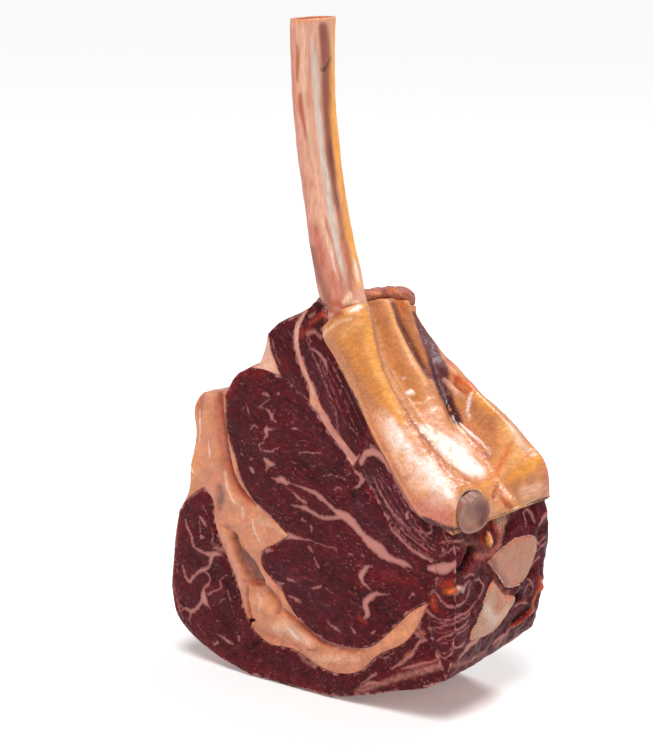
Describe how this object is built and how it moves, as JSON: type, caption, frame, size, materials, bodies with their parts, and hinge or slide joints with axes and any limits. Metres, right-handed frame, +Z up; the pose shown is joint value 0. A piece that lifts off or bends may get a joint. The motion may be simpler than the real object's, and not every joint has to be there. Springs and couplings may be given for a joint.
{
  "type": "raw tomahawk steak",
  "caption": "Thick raw beef rib steak standing on its fat-cap edge, with marbled muscles parted by seam fat and a long bare curved rib bone pointing up.",
  "frame": {"origin": "on the surface the steak stands on, under the middle of its bounding box", "axes": "+Z up along the bone, +Y from the front cut face to the back cut face through the steak's thickness, +X towards the chine side, where the backbone was sawn off"},
  "size_m": [0.1779, 0.075, 0.3196],
  "materials": {
    "rib_bone": "damp scraped bone, pink with ochre edge",
    "rib_eye": "wet raw lean, marbled, grain across",
    "rib_cap": "wet raw lean with a net of fat",
    "seam_fat": "moist peach fat",
    "top_fat": "moist pale fat",
    "outer_strip": "wet raw lean",
    "strip_fat": "moist pale fat",
    "inner_strip": "wet raw lean with fat streaks",
    "deep_muscle": "wet raw lean, finely streaked",
    "chine_meat": "wet ragged lean, sawn side",
    "rib_side_fat": "glossy yellow skin and fat",
    "vertebra_bone": "sawn bone, tan",
    "feather_bone": "sawn bone, cream"
  },
  "bodies": {
    "root": {"rib_bone": "rib_bone", "rib_eye": "rib_eye", "rib_cap": "rib_cap", "seam_fat": "seam_fat", "top_fat": "top_fat", "outer_strip": "outer_strip", "strip_fat": "strip_fat", "inner_strip": "inner_strip", "deep_muscle": "deep_muscle", "chine_meat": "chine_meat", "rib_side_fat": "rib_side_fat", "vertebra_bone": "vertebra_bone", "feather_bone": "feather_bone"}
  },
  "joints": []
}
